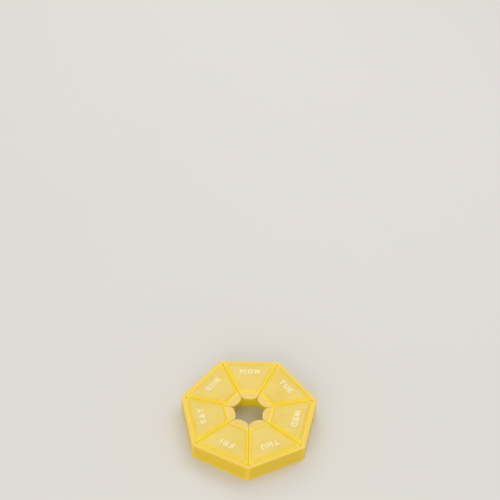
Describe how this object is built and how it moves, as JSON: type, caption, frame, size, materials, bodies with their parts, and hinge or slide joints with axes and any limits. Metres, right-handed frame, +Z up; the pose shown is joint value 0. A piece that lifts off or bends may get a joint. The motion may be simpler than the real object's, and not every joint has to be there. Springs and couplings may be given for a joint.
{
  "type": "weekly pill box",
  "caption": "Ring-shaped weekly pill box: a pocket for each day round an open centre, each under a hinged flip lid with a raised panel and a thumb tab.",
  "frame": {"origin": "on the ring's own axis, in the plane of the standing face", "axes": "+Z up through the centre opening, +Y towards the middle of Monday's side; seen from above the days run clockwise from +Y"},
  "size_m": [0.1046, 0.1023, 0.018],
  "materials": {
    "tray_plastic": "translucent yellow polypropylene, smooth and slightly waxy",
    "lid_plastic": "translucent yellow polypropylene, glossy border and fine frosted panel",
    "hinge_plastic": "the same polypropylene, rolled thin and polished by bending",
    "lettering": "opaque cream-white, satin"
  },
  "bodies": {
    "tray": {"tray": "tray_plastic", "hinge_monday": "hinge_plastic", "hinge_tuesday": "hinge_plastic", "hinge_wednesday": "hinge_plastic", "hinge_thursday": "hinge_plastic", "hinge_friday": "hinge_plastic", "hinge_saturday": "hinge_plastic", "hinge_sunday": "hinge_plastic"},
    "monday_lid": {"lid_monday": "lid_plastic", "legend_monday": "lettering"},
    "tuesday_lid": {"lid_tuesday": "lid_plastic", "legend_tuesday": "lettering"},
    "wednesday_lid": {"lid_wednesday": "lid_plastic", "legend_wednesday": "lettering"},
    "thursday_lid": {"lid_thursday": "lid_plastic", "legend_thursday": "lettering"},
    "friday_lid": {"lid_friday": "lid_plastic", "legend_friday": "lettering"},
    "saturday_lid": {"lid_saturday": "lid_plastic", "legend_saturday": "lettering"},
    "sunday_lid": {"lid_sunday": "lid_plastic", "legend_sunday": "lettering"}
  },
  "joints": [
    {"name": "monday_lid_hinge", "type": "hinge", "parent": "tray", "child": "monday_lid", "pos_m": [0, 0.04545, 0.016], "axis": [-1, 0, 0], "range_deg": [0, 140], "deforming": ["hinge_monday"]},
    {"name": "tuesday_lid_hinge", "type": "hinge", "parent": "tray", "child": "tuesday_lid", "pos_m": [0.03553, 0.02834, 0.016], "axis": [-0.6235, 0.7818, 0], "range_deg": [0, 140], "deforming": ["hinge_tuesday"]},
    {"name": "wednesday_lid_hinge", "type": "hinge", "parent": "tray", "child": "wednesday_lid", "pos_m": [0.04431, -0.01011, 0.016], "axis": [0.2225, 0.9749, 0], "range_deg": [0, 140], "deforming": ["hinge_wednesday"]},
    {"name": "thursday_lid_hinge", "type": "hinge", "parent": "tray", "child": "thursday_lid", "pos_m": [0.01972, -0.04095, 0.016], "axis": [0.901, 0.4339, 0], "range_deg": [0, 140], "deforming": ["hinge_thursday"]},
    {"name": "friday_lid_hinge", "type": "hinge", "parent": "tray", "child": "friday_lid", "pos_m": [-0.01972, -0.04095, 0.016], "axis": [0.901, -0.4339, 0], "range_deg": [0, 140], "deforming": ["hinge_friday"]},
    {"name": "saturday_lid_hinge", "type": "hinge", "parent": "tray", "child": "saturday_lid", "pos_m": [-0.04431, -0.01011, 0.016], "axis": [0.2225, -0.9749, 0], "range_deg": [0, 140], "deforming": ["hinge_saturday"]},
    {"name": "sunday_lid_hinge", "type": "hinge", "parent": "tray", "child": "sunday_lid", "pos_m": [-0.03553, 0.02834, 0.016], "axis": [-0.6235, -0.7818, 0], "range_deg": [0, 140], "deforming": ["hinge_sunday"]}
  ]
}
